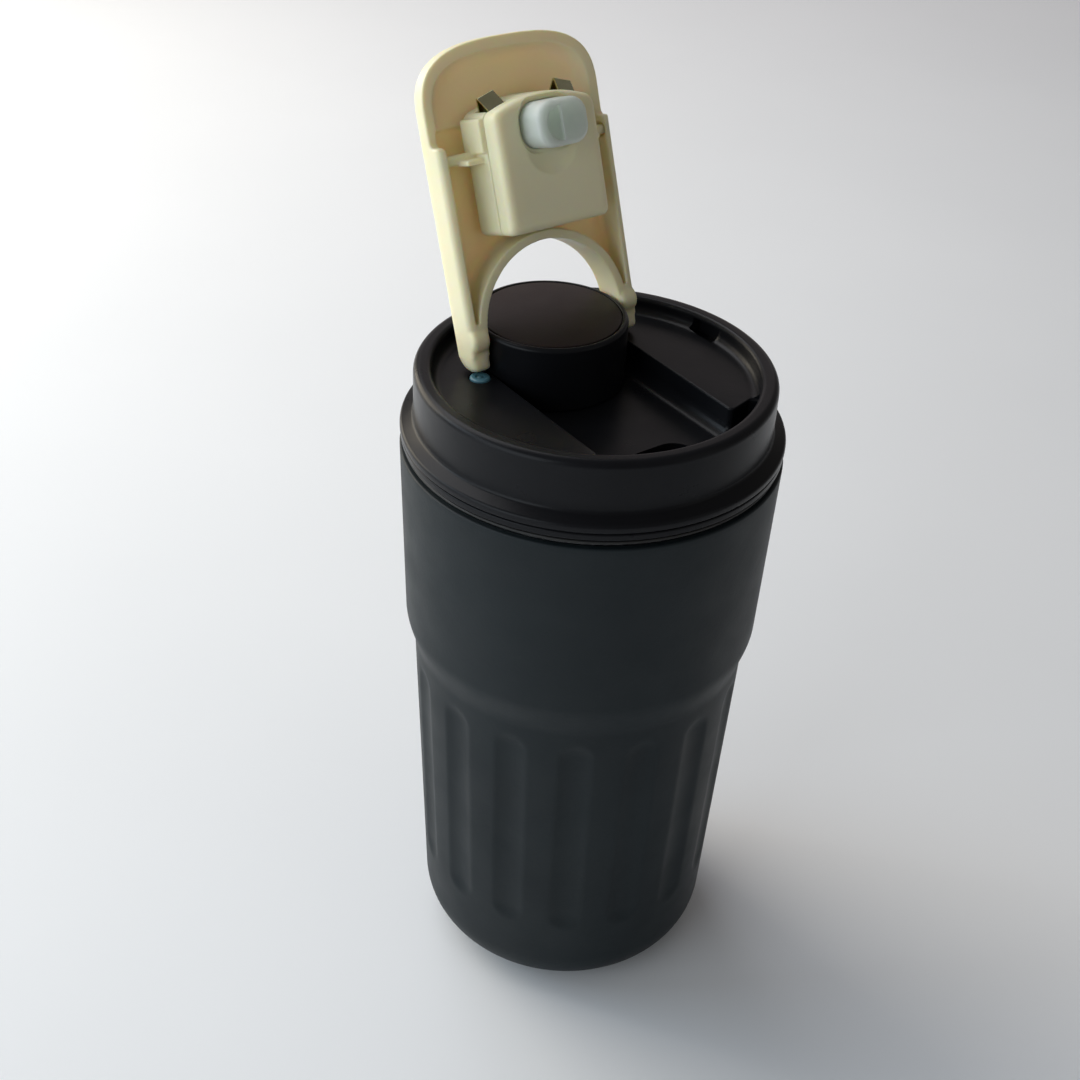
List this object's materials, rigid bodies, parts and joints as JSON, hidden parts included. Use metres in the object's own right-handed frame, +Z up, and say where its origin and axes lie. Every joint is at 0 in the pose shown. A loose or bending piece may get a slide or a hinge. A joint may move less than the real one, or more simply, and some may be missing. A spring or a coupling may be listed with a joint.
{
  "type": "vacuum flask",
  "caption": "Insulated steel travel flask with a fluted lower body and a screw-on drinking lid whose flip lever carries the stopper plug.",
  "frame": {"origin": "centre of the base, on the surface the flask stands on", "axes": "+Z up along the flask; -Y is the drinking side; the lever's hinge runs along X"},
  "size_m": [0.082, 0.082, 0.2141],
  "materials": {
    "powder_coat": "fine matte powder coat",
    "bare_steel": "fine brushed",
    "getter_metal": "dull",
    "black_plastic": "satin moulded",
    "black_matte_plastic": "matte moulded",
    "black_silicone": "matte",
    "cream_plastic": "smooth satin",
    "clear_silicone": "translucent satin",
    "spring_steel": "bright rolled strip"
  },
  "bodies": {
    "flask": {"outer_shell": "powder_coat", "outer_base": "bare_steel", "vacuum_seal": "getter_metal", "base_cover": "bare_steel", "inner_liner": "bare_steel", "getter_cup": "getter_metal"},
    "gasket": {"lid_gasket": "clear_silicone"},
    "lid": {"lid_shell": "black_plastic", "lid_plug": "black_matte_plastic", "flange_seal": "black_silicone", "spout_seal": "clear_silicone", "vent_valve": "clear_silicone", "hinge_tower": "black_plastic", "tower_cap": "black_matte_plastic"},
    "lever": {"lever_cover": "cream_plastic", "hinge_pin_left": "bare_steel", "hinge_pin_right": "bare_steel"},
    "carrier": {"stopper_carrier": "cream_plastic", "carrier_cover": "cream_plastic", "stopper_plug": "clear_silicone", "catch_spring_left": "spring_steel", "catch_spring_right": "spring_steel"}
  },
  "joints": [
    {"name": "lid_rise", "type": "slide", "parent": "flask", "child": "gasket", "axis": [0, 0, 1], "range_m": [0, 0.0076]},
    {"name": "lid_turn", "type": "hinge", "parent": "gasket", "child": "lid", "pos_m": [0, 0, 0.1436], "axis": [0, 0, 1], "range_deg": [0, 540]},
    {"name": "lever_hinge", "type": "hinge", "parent": "lid", "child": "lever", "pos_m": [0, 0.01656, 0.15816], "axis": [1, 0, 0], "range_deg": [0, 110]},
    {"name": "carrier_rock", "type": "hinge", "parent": "lever", "child": "carrier", "pos_m": [0, 0.02892, 0.19357], "axis": [1, 0, 0], "range_deg": [-1.5, 1.5], "stiffness_Nm_per_rad": 0.2}
  ],
  "couplings": [
    {"joint": "lid_rise", "follows": "lid_turn", "m_per_rad": 0.00079577}
  ]
}
